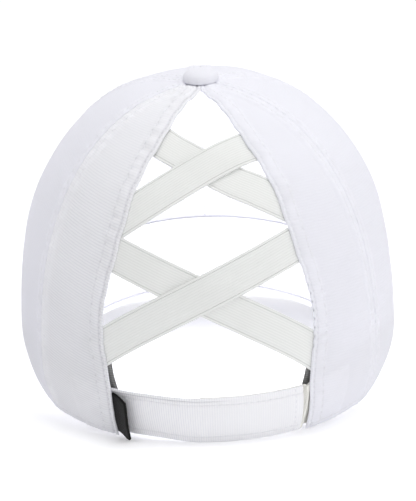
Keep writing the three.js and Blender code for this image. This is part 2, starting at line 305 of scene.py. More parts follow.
# Gathers along the opening's hems and the seams. Pairs are lengths up the panel from the rim, start and end.
PUCKER_PITCH = 3.9 * MM
SEAM_PUCKER_PITCH = 4.6 * MM
SCALLOP = 0.12 * MM
SCALLOP_MORE_RIGHT = 0.16 * MM
SCALLOP_REACH = 3 * MM
SCALLOP_START = (36 * MM, 46 * MM)
SCALLOP_CALM = (70 * MM, 84 * MM)
GATHER_START = (40 * MM, 48 * MM)
GATHER_END = (66 * MM, 76 * MM)
RIGHT_HEM_CALM = (66 * MM, 84 * MM)

# Tones. Cloth that lies single is painted a little darker, as painted shade for the light that passes through
# it, and the left panels get painted shade, strongest at the rim. The ribs are pressed flat at the seams and
# towards the button.
SINGLE_SHADE = 0.038
LEFT_PAINTED_SHADE = 0.065
LEFT_SHADE_LENGTHS = (42 * MM, 82 * MM)
PRESSED_LENGTHS = (95 * MM, 135 * MM)
PRESSED_FADE = 3 * MM
# Painted shade: folds, seams, stitch lines and gathers are drawn darker, towards this colour.
CREASE_SHADE_COLOUR = "#8E8E98"
ROLL_SHARES = (0, 0.076, 0.293, 0.617, 1)


def edge_marks(roll, *lengths):
    """Distances from a sheet's edge: close together over its roll, then at lengths in millimetres."""
    return [roll * share for share in ROLL_SHARES] + [length * MM for length in lengths]


SEAM_MARKS = edge_marks(SEAM_ROLL, 0.9, 1.5, 2.1, 2.5, 2.75, 3.0, 3.25, 3.5, 4.0, 4.7, 5.2, 5.6, 6.2, 7.2)
RIM_MARKS = edge_marks(SEAM_ROLL, 0.9, 1.5, 2.2, 2.8, 3.1, 3.4, 3.7, 4.0, 4.6, 5.5)
HEM_MARKS = edge_marks(HEM_ROLL, 1.1, 1.45, 1.7, 1.9, 2.1, 2.35, 2.8, 3.5, 4.3, 5.1, 5.8, 6.3)
HEM_MARKS += [mark * MM for mark in (6.6, 6.8, 7.0, 7.3, 7.8, 8.3, 8.8, 9.6)]


def selected_only(piece):
    bpy.ops.object.select_all(action="DESELECT")
    piece.select_set(True)
    bpy.context.view_layer.objects.active = piece


def corners_of(piece):
    found = np.empty(len(piece.data.vertices) * 3)
    piece.data.vertices.foreach_get("co", found)
    return found.reshape(-1, 3)


def set_corners(piece, points):
    piece.data.vertices.foreach_set("co", np.ascontiguousarray(points, float).ravel())
    piece.data.update()


def apply_modifier(piece, kind, **settings):
    """Adds a modifier, applies it and keeps its result."""
    selected_only(piece)
    modifier = piece.modifiers.new(kind.lower(), kind)
    for name, value in settings.items():
        setattr(modifier, name, value)
    bpy.ops.object.modifier_apply(modifier=modifier.name)


def edit_mesh(piece, operator, **settings):
    """Runs one mesh operator on the whole of a piece."""
    selected_only(piece)
    bpy.ops.object.mode_set(mode="EDIT")
    bpy.ops.mesh.select_all(action="SELECT")
    operator(**settings)
    bpy.ops.object.mode_set(mode="OBJECT")


def lay_threads(piece, threads, marks):
    """Keeps what the weave reads at each corner: its place on the flat cloth, in metres across and along the
    threads, and its marks from 0 to 1. One mark is painted shade, how much darker the cloth is drawn where it
    lies in a fold or stitch line, and pressed is how flat its ribs are pressed."""
    loops = np.empty(len(piece.data.loops), int)
    piece.data.loops.foreach_get("vertex_index", loops)
    piece.data.uv_layers.active.data.foreach_set("uv", np.ascontiguousarray(threads[loops]).ravel())
    piece.data.uv_layers.active.name = "threads"
    for name, values in marks.items():
        mark = piece.data.attributes.new(name, "FLOAT", "POINT")
        mark.data.foreach_set("value", np.clip(values, 0, 1).astype(np.float32))


def cloth_sheet(name, columns, rows, place):
    """Lays a flat grid out as a piece of cloth, and gives it with each corner's distance from the nearest
    edge. place takes the column and row of each corner. It gives its point in cap coordinates, that
    distance, its place on the flat cloth and its marks."""
    bpy.ops.mesh.primitive_grid_add(x_subdivisions=columns, y_subdivisions=rows, size=1, calc_uvs=True)
    piece = bpy.context.active_object
    piece.name = piece.data.name = name
    flat = corners_of(piece) + 0.5
    column = np.rint(flat[:, 0] * columns).astype(int)
    row = np.rint(flat[:, 1] * rows).astype(int)
    points, edge, threads, marks = place(column, row)
    set_corners(piece, to_row(points))
    lay_threads(piece, np.stack(threads, -1), marks)
    return piece, edge


def add_wall(piece, wall, edge, roll):
    """Thickens a sheet inwards and rolls its edges over. edge is each corner's distance from the nearest."""
    count = len(piece.data.vertices)
    apply_modifier(piece, "SOLIDIFY", thickness=wall, offset=-1)
    both = corners_of(piece).reshape(2, count, 3)
    middle = both.mean(0)
    half = (both[0] - both[1]) / 2
    fullness = np.sqrt(1 - np.clip(1 - edge / roll, 0, 1) ** 2)[:, None]
    set_corners(piece, np.concatenate((middle + half * fullness, middle - half * fullness)))
    edit_mesh(piece, bpy.ops.mesh.remove_doubles, threshold=1e-6)
    edit_mesh(piece, bpy.ops.mesh.normals_make_consistent, inside=False)
    bpy.ops.object.shade_smooth()


thread_lines = {}


def thread_line(sheet, node, columns, column=None, row=None):
    """Keeps one column or row of a sheet's corners as a line for the sewing thread to follow."""
    points = corners_of(sheet)
    normals = np.empty(points.size)
    sheet.data.vertices.foreach_get("normal", normals)
    grid = np.arange(len(points)).reshape(-1, columns + 1)
    line = grid[:, column] if row is None else grid[row]
    thread_lines.setdefault(node, []).append((points[line], normals.reshape(-1, 3)[line]))


def creases(points, size, height):
    """Soft unevenness of the cloth, from smooth noise of a given grain."""
    return height * np.array([noise(Vector(p) / size) for p in points])


def near(distance, line, width):
    """1 on a line and less beside it, on a bell curve of a given width."""
    return np.exp(-(((distance - line) / width) ** 2))


def lengths_along(points):
    """Length of a line from its first point to each of its points."""
    steps = np.linalg.norm(np.diff(points, axis=0), axis=1)
    return np.insert(np.cumsum(steps), 0, 0)


def waves(length, pitch, shift=0):
    return np.sin(length / pitch * 2 * math.pi + shift)


def doubled_cloth(bearing, at, edges):
    """1 where the cloth lies double, in seam allowances, hems and over the closure's sewn-in ends, and 0
    elsewhere. edges has the distance from each of the panel's two edges, and whether it is hemmed."""
    beyond = np.minimum.reduce([gap - (HEM_DEPTH if hem else SEAM_ALLOWANCE) for gap, hem in edges])
    doubled = 1 - smooth(beyond, -0.6 * MM, 0.6 * MM)
    if any(hem for gap, hem in edges):
        patch = 1 - smooth(at[:, 2], PATCH_HEIGHT - 0.5 * MM, PATCH_HEIGHT + 0.5 * MM)
        patch = patch * (1 - smooth(np.abs(bearing), PATCH_BEARING - 0.008, PATCH_BEARING + 0.008))
        doubled = np.maximum(doubled, patch)
    return doubled


def panel_painted_shade(doubled, length, edges, right):
    """Painted shade for each point of a panel: how much darker it is drawn for lying in a stitch line, seam
    or gather. Single cloth is painted a little darker than double cloth, standing in for the light that goes
    through it."""
    depth = SINGLE_SHADE * (1 - doubled) + 0.1 * near(length, RIM_STITCH, 0.4 * MM)
    for gap, hem in edges:
        if hem:
            dashes = 0.5 + 0.5 * waves(length, PUCKER_PITCH)
            share = 0.4 + 0.4 * (1 - smooth(length, *RIGHT_HEM_CALM)) if right else 1.15
            depth += 0.24 * share * near(gap, HEM_STITCHES[0], STITCH_BED)
            depth += 0.2 * share * dashes * near(gap, HEM_STITCHES[1], 0.4 * MM)
            if right:
                gathered = smooth(length, *GATHER_START) * (1 - smooth(length, *GATHER_END))
                depth += 0.5 * near(gap, 0, 0.5 * MM) * smooth(dashes, 0.75, 1) * gathered
        else:
            depth += 0.03 * near(gap, 0, 0.4 * MM) + 0.025 * near(gap, SEAM_STITCH, 0.35 * MM)
    return np.clip(depth, 0, 1)


def panel_relief(doubled, at, length, edges, right):
    """How far the cloth stands off the plain form: doubled cloth, stitch lines, puckers and soft creases."""
    stand = DOUBLED_STAND * doubled - 0.22 * MM * near(length, RIM_STITCH, STITCH_BED)
    for gap, hem in edges:
        if hem:
            ripple = waves(length, 1.6 * PUCKER_PITCH, 6 * creases(at, 16 * MM, 1))
            uneven = 0.35 + 1.3 * np.abs(creases(at + 2, 15 * MM, 1))
            hem_band = smooth(gap, 2 * MM, 4 * MM) * (1 - smooth(gap, 6 * MM, 9 * MM))
            fullness, pull = (0.26 * MM, 0.6) if right else (0.42 * MM, 1)
            stand += (fullness * ripple * uneven + 0.25 * MM) * hem_band
            stand -= 0.22 * MM * pull * near(gap, HEM_STITCHES[1], 1.3 * MM)
            stand -= 0.18 * MM * pull * near(gap, HEM_STITCHES[1], STITCH_BED)
            stand -= 0.46 * MM * pull * near(gap, HEM_STITCHES[0], 0.45 * MM)
        else:
            ripple = waves(length, SEAM_PUCKER_PITCH, 2.5 * creases(at, 14 * MM, 1))
            uneven = 0.5 + creases(at, 17 * MM, 1)
            seam_band = near(gap, SEAM_STITCH, 3.6 * MM)
            stand += (0.2 * MM * ripple * uneven + creases(at + 3, 4.2 * MM, 0.3 * MM)) * seam_band
            stand -= 0.11 * MM * near(gap, SEAM_STITCH, STITCH_BED)
    calm = smooth(length, 2 * MM, 20 * MM) * smooth(np.minimum(edges[0][0], edges[1][0]), 0, 12 * MM)
    return stand + (creases(at, 34 * MM, 0.8 * MM) + creases(at + 1, 13 * MM, 0.16 * MM)) * calm


def seam(number):
    return lambda rise: number * PANEL_TURN


def left_edge(rise):
    return -edge_bearing(rise)


def right_edge(rise):
    return edge_bearing(rise) + RIGHT_EASE / CROWN_BACK_DEPTH * (1 - smooth(rise, -0.5, 0.1))


def edge_lean(side, rise, bearing):
    """How much longer a step across the panel is than one square to a slanting edge."""
    along, up = crown_slopes(bearing, rise)
    step = 1e-3
    turn = (side(np.minimum(rise + step, 1)) - side(rise - step)) / (2 * step)
    return np.hypot(1, turn * np.linalg.norm(along, axis=-1) / np.linalg.norm(up, axis=-1))


def crown_panel(node, start, end):
    """One panel between two edges, which are functions of the rise."""
    right, start_hem, end_hem = node.endswith("right"), start is right_edge, end is left_edge
    start_marks = HEM_MARKS if start_hem else SEAM_MARKS
    end_marks = HEM_MARKS if end_hem else SEAM_MARKS
    middle_bearing = float(start(0) + end(0)) / 2
    rises = np.linspace(-1, 1, 600)
    lengths = lengths_along(on_crown(middle_bearing, rises))
    top_rise = float(rise_at_radius(np.array(middle_bearing), BUTTON_HOLE))
    top_length = np.interp(top_rise, rises, lengths)
    top_marks = [top_length - SEAM_ROLL * s for s in reversed(ROLL_SHARES)]
    plain = np.arange(RIM_MARKS[-1] + ROW_SPACING, top_marks[0] - ROW_SPACING / 2, ROW_SPACING)
    row_lengths = np.concatenate((RIM_MARKS, plain, top_marks))
    row_rises = np.interp(row_lengths, lengths, rises)
    columns = len(start_marks) + MIDDLE_COLUMNS + len(end_marks) - 1

    def place(column, row):
        rise, length = row_rises[row], row_lengths[row]
        first, last = start(rise) * np.ones_like(rise), end(rise) * np.ones_like(rise)
        scale = np.linalg.norm(crown_slopes((first + last) / 2, rise)[0], axis=-1)
        width = (last - first) * scale - PANEL_GAP
        first_lean, last_lean = edge_lean(start, rise, first), edge_lean(end, rise, last)
        room = start_marks[-1] * first_lean + end_marks[-1] * last_lean
        squeeze = np.minimum(1, width / (room * 1.25))
        from_start = np.array(start_marks)[np.minimum(column, len(start_marks) - 1)]
        from_end = np.array(end_marks)[np.minimum(columns - column, len(end_marks) - 1)]
        after_start = from_start * first_lean * squeeze
        before_end = width - from_end * last_lean * squeeze
        share = (column - len(start_marks) + 1) / (MIDDLE_COLUMNS + 1)
        across = after_start + (before_end - after_start) * np.clip(share, 0, 1)
        start_gap, end_gap = across / first_lean, (width - across) / last_lean

        pull = start_hem * np.exp(-start_gap / SCALLOP_REACH) - end_hem * np.exp(-end_gap / SCALLOP_REACH)
        scallop = waves(length, PUCKER_PITCH) * (SCALLOP + SCALLOP_MORE_RIGHT * start_hem)
        scallop = scallop * smooth(length, *SCALLOP_START) * (1 - 0.7 * smooth(length, *SCALLOP_CALM))
        bearing = first + (across + PANEL_GAP / 2 + pull * scallop) / scale
        own_top = rise_at_radius(bearing, BUTTON_HOLE)
        rise = rise + (own_top - top_rise) * smooth(rise, 0.85 * top_rise, top_rise)

        at = on_crown(bearing, rise)
        edges = ((start_gap, start_hem), (end_gap, end_hem))
        doubled = doubled_cloth(bearing, at, edges)
        stand = panel_relief(doubled, at, length, edges, right)
        # The doubled share, broken up by noise, decides where the panel is spared the painted single-cloth
        # shade.
        doubled_for_shade = doubled * np.clip(0.75 + creases(at + 4, 5 * MM, 1.1), 0, 1)
        # Painted shade on the left panels, strongest at the rim and fading out higher up.
        left_shade = 0 if right else LEFT_PAINTED_SHADE * (1 - smooth(length, *LEFT_SHADE_LENGTHS))
        crease_shade = left_shade + panel_painted_shade(doubled_for_shade, length, edges, right)
        seam_gap = end_gap if start_hem else start_gap if end_hem else np.minimum(start_gap, end_gap)
        over_seam = 1 - smooth(seam_gap, SEAM_ALLOWANCE - 0.5 * MM, SEAM_ALLOWANCE + PRESSED_FADE)
        marks = {"crease_shade": crease_shade, "pressed": np.maximum(over_seam, smooth(length, *PRESSED_LENGTHS))}
        at_hem = (start_hem & (start_gap < end_gap)) | (end_hem & (end_gap < start_gap))
        edge = np.minimum.reduce((start_gap, end_gap, length, top_length - length))
        edge = edge / np.where(at_hem, HEM_ROLL, SEAM_ROLL)
        return off_crown(bearing, rise, stand), edge, ((bearing - middle_bearing) * scale, length), marks

    panel, edge = cloth_sheet(f"cloth_{node}", columns, len(row_rises) - 1, place)
    hem_columns = [HEM_MARKS.index(stitch) for stitch in HEM_STITCHES]
    seam_columns = [SEAM_MARKS.index(SEAM_STITCH)]
    for column in hem_columns if start_hem else seam_columns:
        thread_line(panel, node, columns, column=column)
    for column in hem_columns if end_hem else seam_columns:
        thread_line(panel, node, columns, column=columns - column)
    thread_line(panel, node, columns, row=RIM_MARKS.index(RIM_STITCH))
    add_wall(panel, CLOTH_WALL, edge, roll=1)
    # The back left panel takes the copy of the ottoman with stronger painted rib shade.
    panel.data.materials.append(left_rib_shade_ottoman if end_hem else ottoman)
    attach(panel, "root")
    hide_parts(node)


RIB_PITCH = 1.25 * MM
RIB_TURN = math.radians(8)
RIB_DRIFT = 0.8
RIB_ROUNDNESS = 0.6
MEAN_RIB = 0.75
PRESSED_SHARE = 0.35
WARP_PITCH = 0.42 * MM
WARP_DEPTH = 0.02 * MM


def weave_material(name, low, high, pitch, rib_turn, depth, yarn_pitch, yarn_depth, roughness, through):
    """Woven cloth with round ribs, which a fine yarn crosses. The ribs' tops are painted lighter in the
    colour high, as painted highlight, and the grooves between them darker in the colour low, as painted
    shade. rib_turn is the angle of the ribs on the flat cloth, and through is the share of the light that
    passes through."""
    material = new_material(name)
    cloth = add_node(material, "UVMap", uv_map="threads")
    turned = add_node(material, "Mapping", {"Vector": cloth, "Rotation": (0, 0, rib_turn)})
    axes = add_node(material, "SeparateXYZ", [turned])
    wander = {"Vector": turned, "Scale": 160, "Detail": 2}
    wander = add_node(material, "TexNoise", wander, noise_dimensions="2D")
    drift = add_node(material, "Math", [wander, RIB_DRIFT], operation="MULTIPLY")
    phase = [axes.outputs["Y"], math.pi / pitch, drift]
    phase = add_node(material, "Math", phase, operation="MULTIPLY_ADD")
    wave = add_node(material, "Math", [phase], operation="SINE")
    rib = add_node(material, "Math", [wave], operation="ABSOLUTE")
    rib = add_node(material, "Math", [rib, RIB_ROUNDNESS], operation="POWER")
    pressed = add_node(material, "Attribute", attribute_name="pressed")
    kept = [pressed.outputs["Fac"], PRESSED_SHARE - 1, 1]
    kept = add_node(material, "Math", kept, operation="MULTIPLY_ADD")
    rib = add_node(material, "Mix", {0: kept, 2: MEAN_RIB, 3: rib})
    yarn = [axes.outputs["X"], 2 * math.pi / yarn_pitch]
    yarn = add_node(material, "Math", yarn, operation="MULTIPLY")
    yarn = add_node(material, "Math", [yarn], operation="SINE")
    height = add_node(material, "Math", [yarn, yarn_depth / depth, rib], operation="MULTIPLY_ADD")
    bump = add_node(material, "Bump", {"Height": height, "Distance": depth, "Strength": 1.0})
    patches = {"Vector": turned, "Scale": 45, "Detail": 3}
    patches = add_node(material, "TexNoise", patches, noise_dimensions="2D")
    shade = add_node(material, "Math", [patches, 0.25, rib], operation="MULTIPLY_ADD")
    # Painted highlight on the rib tops and painted shade in the grooves.
    tones = {0: shade, 6: linear(low), 7: linear(high)}
    tone = add_node(material, "Mix", tones, data_type="RGBA")
    # Painted shade: points marked as lying in folds, seams and stitch lines are drawn darker.
    crease_shade = add_node(material, "Attribute", attribute_name="crease_shade")
    colours = {0: crease_shade.outputs["Fac"], 6: tone.outputs[2], 7: linear(CREASE_SHADE_COLOUR)}
    colour = add_node(material, "Mix", colours, data_type="RGBA")
    look = {"Base Color": colour.outputs[2], "Roughness": roughness, "Specular IOR Level": 0.25}
    look |= {"Normal": bump, "Sheen Weight": 0.1, "Sheen Roughness": 0.5}
    shader = add_node(material, "BsdfPrincipled", look)
    if through:
        glow = add_node(material, "BsdfTranslucent", {"Color": colour.outputs[2], "Normal": bump})
        shader = add_node(material, "MixShader", [through, shader, glow])
    add_node(material, "OutputMaterial", {"Surface": shader})
    return material


def crown_cloth(name, low, high, rib_depth):
    """The crown's white ottoman."""
    return weave_material(name, low, high, RIB_PITCH, RIB_TURN, rib_depth, WARP_PITCH, WARP_DEPTH, 0.85, 0.16)


ottoman = crown_cloth("white_polyester_ottoman", "#F5F5FB", "#F8F8FE", 0.07 * MM)
# The back left panel's copy of the ottoman: deeper ribs, with stronger painted shade in the grooves and
# painted highlight on the tops, for the grazing light on that side.
left_rib_shade_ottoman = crown_cloth("white_ottoman_left_rib_shade", "#EAEAF0", "#FCFCFF", 0.1 * MM)
PANELS = {
    "back_panel_right": (right_edge, seam(1)),
    "side_panel_right": (seam(1), seam(2)),
    "front_panel_right": (seam(2), seam(3)),
    "front_panel_left": (seam(-3), seam(-2)),
    "side_panel_left": (seam(-2), seam(-1)),
    "back_panel_left": (seam(-1), left_edge),
}
for node, (start, end) in PANELS.items():
    crown_panel(node, start, end)


# Elastic straps. Two pairs of flat woven elastic cross over the opening. Each is off-white, with fine
# lengthwise ribs and a flat selvedge at both edges, and its ends are caught in the hems of the back panels.
# Where two cross, the under one dips inwards.
ELASTIC_WIDTH = 16 * MM
ELASTIC_WALL = 1.0 * MM
ELASTIC_TUCK = 8 * MM
ELASTIC_ROLL = 0.35 * MM
ELASTIC_ROWS = 110
LAYER_GAP = 0.6 * MM
TUCKED_DEPTH = CLOTH_WALL + LAYER_GAP
SELVEDGE = 1.3 * MM
ELASTIC_RIBS = 12
ELASTIC_RIB = (ELASTIC_WIDTH - 2 * SELVEDGE) / ELASTIC_RIBS
ELASTIC_RIB_COLUMNS = 4
ELASTIC_RIB_HEIGHT = 0.065 * MM
WEFT_PITCH = 0.7 * MM
WEFT_DEPTH = 0.012 * MM
CROSSING_GAP = 0.15 * MM
CROSSING_START = 13.5 * MM
CROSSING_END = 22 * MM

# Whether the strap lies over the other of its pair, and its rise at the left edge, in the middle and at the
# right.
ELASTICS = {
    "elastic_upper_under": (False, 0.677, 0.604, 0.462),
    "elastic_upper_over": (True, 0.433, 0.592, 0.647),
    "elastic_lower_under": (False, 0.315, 0.226, 0.06),
    "elastic_lower_over": (True, 0.082, 0.244, 0.328),
}


def nearest_on_crown(target, bearing, rise):
    """Bearing and rise of the crown's points nearest to targets that are close by."""
    for _ in range(4):
        along, up = crown_slopes(bearing, rise)
        miss = target - on_crown(bearing, rise)
        mixed = (along * up).sum(-1)
        area = (along**2).sum(-1) * (up**2).sum(-1) - mixed**2
        turn = (miss * along).sum(-1) * (up**2).sum(-1) - (miss * up).sum(-1) * mixed
        climb = (miss * up).sum(-1) * (along**2).sum(-1) - (miss * along).sum(-1) * mixed
        bearing, rise = bearing + turn / area, rise + climb / area
    return bearing, rise


def elastic_line(left, centre, right):
    """Bearings of an elastic's two ends at the opening's edges, and its rise at any bearing between."""
    first, last = -float(edge_bearing(left)), float(edge_bearing(right))

    def rise_at(bearing):
        left_share = bearing * (bearing - last) / (first * (first - last))
        right_share = bearing * (bearing - first) / (last * (last - first))
        centre_share = (bearing - first) * (last - bearing) / (-first * last)
        return left * left_share + centre * centre_share + right * right_share

    return first, last, rise_at


def elastic_strap(node, over, left, centre, right):
    first, last, rise_at = elastic_line(left, centre, right)
    tuck = ELASTIC_TUCK / CROWN_BACK_DEPTH
    turn = last - first + 2 * tuck
    inner = np.linspace(SELVEDGE, ELASTIC_WIDTH - SELVEDGE, ELASTIC_RIBS * ELASTIC_RIB_COLUMNS + 1)
    border = np.array(edge_marks(ELASTIC_ROLL, 0.6, 0.85, 1.05))
    across = np.concatenate((border, inner, ELASTIC_WIDTH - border[::-1]))
    dip = 0 if over else ELASTIC_WALL + CROSSING_GAP

    def place(column, row):
        bearing = first - tuck + turn * row / ELASTIC_ROWS
        rise = rise_at(bearing)
        middle = on_crown(bearing, rise)
        heading = on_crown(bearing + 1e-3, rise_at(bearing + 1e-3)) - middle
        aside = unit(np.cross(crown_normal(bearing, rise), heading))
        offset = ELASTIC_WIDTH / 2 - across[column]
        at_bearing, at_rise = nearest_on_crown(middle + aside * offset[:, None], bearing, rise)
        from_edge = np.minimum(across[column], ELASTIC_WIDTH - across[column])
        rib = np.abs(np.sin((across[column] - SELVEDGE) / ELASTIC_RIB * math.pi)) ** RIB_ROUNDNESS
        in_ribs = (across[column] > SELVEDGE) & (across[column] < ELASTIC_WIDTH - SELVEDGE)
        stand = np.where(in_ribs, ELASTIC_RIB_HEIGHT * (rib - 1), 0)
        stand = stand - 0.12 * MM * near(from_edge, SELVEDGE, 0.18 * MM)
        depth = TUCKED_DEPTH + dip * (1 - smooth(np.abs(middle[:, 0]), CROSSING_START, CROSSING_END))
        length = turn * CROWN_BACK_DEPTH * row / ELASTIC_ROWS
        edge = np.minimum(from_edge, np.minimum(length, length.max() - length) + ELASTIC_ROLL / 4)
        return off_crown(at_bearing, at_rise, stand - depth), edge, (across[column], length), {}

    strap, edge = cloth_sheet(f"woven_{node}", len(across) - 1, ELASTIC_ROWS, place)
    middle_line = corners_of(strap).reshape(ELASTIC_ROWS + 1, -1, 3)[:, len(across) // 2]
    edit_mesh(strap, bpy.ops.mesh.flip_normals)
    add_wall(strap, ELASTIC_WALL, edge, ELASTIC_ROLL)
    strap.data.materials.append(elastic)
    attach(strap, "root")
    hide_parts(node)


elastic = new_material("off_white_woven_elastic")
woven = add_node(elastic, "UVMap", uv_map="threads")
woven_axes = add_node(elastic, "SeparateXYZ", [woven])
woven_rib = [woven_axes.outputs["X"], math.pi / ELASTIC_RIB, -math.pi * SELVEDGE / ELASTIC_RIB]
woven_rib = add_node(elastic, "Math", woven_rib, operation="MULTIPLY_ADD")
woven_rib = add_node(elastic, "Math", [woven_rib], operation="SINE")
woven_rib = add_node(elastic, "Math", [woven_rib], operation="ABSOLUTE")
from_line = woven_axes.outputs["X"]
for offset in (ELASTIC_WIDTH / 2, ELASTIC_WIDTH / 2 - SELVEDGE):
    from_line = add_node(elastic, "Math", [from_line, offset], operation="SUBTRACT")
    from_line = add_node(elastic, "Math", [from_line], operation="ABSOLUTE")
line = [from_line, 0.1 * MM, 0.45 * MM, 0.75, 0.0]
line = add_node(elastic, "MapRange", line, interpolation_type="SMOOTHSTEP")
weft = [woven_axes.outputs["Y"], 2 * math.pi / WEFT_PITCH]
weft = add_node(elastic, "Math", weft, operation="MULTIPLY")
weft = add_node(elastic, "Math", [weft], operation="SINE")
weft_bump = add_node(elastic, "Bump", {"Height": weft, "Distance": WEFT_DEPTH, "Strength": 1.0})
# Painted shade in the grooves between the elastic's ribs and painted highlight on their tops.
elastic_tones = {0: woven_rib, 6: linear("#EBECEA"), 7: linear("#F5F6F4")}
elastic_tone = add_node(elastic, "Mix", elastic_tones, data_type="RGBA")
elastic_colours = {0: line, 6: elastic_tone.outputs[2], 7: linear("#B9BCB7")}
elastic_colour = add_node(elastic, "Mix", elastic_colours, data_type="RGBA").outputs[2]
elastic_look = {"Base Color": elastic_colour, "Roughness": 0.7, "Specular IOR Level": 0.3}
elastic_look["Normal"] = weft_bump
elastic_shader = add_node(elastic, "BsdfPrincipled", elastic_look)
glow = add_node(elastic, "BsdfTranslucent", {"Color": elastic_colour})
elastic_shader = add_node(elastic, "MixShader", [0.12, elastic_shader, glow])
add_node(elastic, "OutputMaterial", {"Surface": elastic_shader})
for node, row in ELASTICS.items():
    elastic_strap(node, *row)


# Closure strap and tab. The strap is a folded band of the crown's cloth with its ribs upright. It comes out
# from behind the left panel and lies over the tab, a cream brushed loop tape that comes out from behind the
# right panel.
CLOSURE_HEIGHT = 24 * MM
CLOSURE_WALL = 1.2 * MM
CLOSURE_RIM_INSET = 0.6 * MM
CLOSURE_TUCK = 17 * MM
CLOSURE_SHOW = 4.1 * MM
CLOSURE_OVERLAP = 53 * MM
SETTLE = 0.3 * MM
STRAP_CLIMB = 28 * MM
STRAP_RIB = 1.2 * MM
STRAP_RIB_COLUMNS = 4
STRAP_RIB_HEIGHT = 0.16 * MM
STRAP_PRESSED = (48 * MM, 80 * MM)
STRAP_ROLL = 0.5 * MM
STRAP_STITCH = 3.4 * MM
STRAP_END_STITCH = 4.4 * MM
STRAP_FOLD = 1.45 * MM
STRAP_FOLD_STAND = 0.35 * MM
STRAP_END_TURN = 2.6 * MM
STRAP_TURNED_LENGTH = 60 * MM
TAB_WALL = 1.0 * MM
TAB_COLUMNS = 110
TAB_BULGE = 1.5 * MM
TAB_DROP = 0.8 * MM


def bearing_of(length):
    return length / CROWN_BACK_DEPTH


rim_edge = float(edge_bearing(-1.0))
strap_start = -rim_edge - bearing_of(CLOSURE_TUCK)
strap_end = rim_edge - bearing_of(CLOSURE_SHOW)
tab_start = strap_end - bearing_of(CLOSURE_OVERLAP)
tab_end = rim_edge + bearing_of(CLOSURE_TUCK)
strap_lift_start = tab_start - bearing_of(STRAP_CLIMB)
back_bottom = on_crown(0.0, rise_at_height(np.array(0.0), CLOSURE_RIM_INSET))


def floor_height(y):
    """Height of the floor in cap coordinates, under points of the cap."""
    return back_bottom[2] + SETTLE - (y - back_bottom[1]) * math.tan(CAP_TILT)


def strap_depth(bearing):
    return TUCKED_DEPTH - (CLOSURE_WALL + LAYER_GAP) * smooth(bearing, strap_lift_start, tab_start)


def strap_marks(height):
    """Heights of a strap's rows, closer together at its edges."""
    edge = edge_marks(STRAP_ROLL, 0.85, 1.1, 1.3, 1.45, 1.6, 1.8, 2.3, 2.8)
    edge += [mark * MM for mark in (3.05, 3.25, 3.4, 3.55, 3.75, 4.0, 4.6)]
    plain = np.linspace(5.4 * MM, height - 5.4 * MM, 13)
    return np.concatenate((edge, plain, height - np.array(edge[::-1])))


strap_heights = strap_marks(CLOSURE_HEIGHT)
strap_length = (strap_end - strap_start) * CROWN_BACK_DEPTH
strap_ribs = int(strap_length / STRAP_RIB)
strap_end_marks = np.array(edge_marks(STRAP_ROLL))
strap_middle = np.linspace(2 * STRAP_ROLL, strap_length - 2 * STRAP_ROLL, strap_ribs * STRAP_RIB_COLUMNS)
strap_lengths = np.concatenate((strap_end_marks, strap_middle, strap_length - strap_end_marks[::-1]))


def place_strap(column, row):
    height, length = strap_heights[row], strap_lengths[column]
    upright = (0.5 - height / CLOSURE_HEIGHT) * STRAP_END_TURN
    turned = smooth(length, strap_length - STRAP_TURNED_LENGTH, strap_length)
    bearing = strap_start + bearing_of(length) + bearing_of(upright) * turned
    rise = rise_at_height(bearing, CLOSURE_RIM_INSET + height)
    edge = np.minimum(height, CLOSURE_HEIGHT - height)
    pressed = smooth(length, *STRAP_PRESSED)
    rib = np.abs(np.sin(length / STRAP_RIB * math.pi)) ** RIB_ROUNDNESS
    ribbed = 0.35 * smooth(edge, 0, 0.8 * MM) + 0.65 * smooth(edge, 2.9 * MM, 3.9 * MM)
    ribbed = ribbed * (1 - 0.6 * pressed)
    stand = STRAP_RIB_HEIGHT * (rib - 1) * ribbed - 0.24 * MM * near(edge, STRAP_STITCH, 0.4 * MM)
    from_top = CLOSURE_HEIGHT - height
    folded = 1 - smooth(length, 0.55 * strap_length, 0.7 * strap_length)
    over_fold = 1 - smooth(from_top, STRAP_FOLD - 0.2 * MM, STRAP_FOLD + 0.2 * MM)
    stand = stand + folded * STRAP_FOLD_STAND * (over_fold - near(from_top, STRAP_FOLD, 0.25 * MM))
    stand = stand + creases(on_crown(bearing, rise), 24 * MM, 0.25 * MM) * smooth(edge, 0, 6 * MM)
    points = off_crown(bearing, rise, stand - strap_depth(bearing))
    points[:, 2] = np.maximum(points[:, 2], floor_height(points[:, 1]))
    # Painted shade along the strap's fold line and its stitch lines.
    crease_shade = 0.5 * folded * near(from_top, STRAP_FOLD, 0.22 * MM) + 0.12 * near(edge, STRAP_STITCH, 0.3 * MM)
    edge = np.minimum(edge, np.minimum(length, strap_length - length))
    return points, edge, (height, length), {"crease_shade": crease_shade, "pressed": pressed}


strap_columns = len(strap_lengths) - 1
strap, strap_edge = cloth_sheet("cloth_closure_strap", strap_columns, len(strap_heights) - 1, place_strap)
for height in (STRAP_STITCH, CLOSURE_HEIGHT - STRAP_STITCH):
    thread_line(strap, "closure_strap", strap_columns, row=int(np.argmin(abs(strap_heights - height))))
strap_end_column = int(np.argmin(abs(strap_lengths - (strap_length - STRAP_END_STITCH))))
thread_line(strap, "closure_strap", strap_columns, column=strap_end_column)
add_wall(strap, CLOSURE_WALL, strap_edge, STRAP_ROLL)
strap_weave = (STRAP_RIB, 0, 0.03 * MM, WARP_PITCH, WARP_DEPTH)
# The strap's tones are painted shade in the grooves between its upright ribs and painted highlight on their
# tops.
strap_cloth = weave_material("white_ottoman_strap", "#E7E7ED", "#FDFDFF", *strap_weave, 0.85, 0.1)
strap.data.materials.append(strap_cloth)
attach(strap, "root")
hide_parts("closure_strap")

tab_heights = strap_marks(CLOSURE_HEIGHT - TAB_DROP)


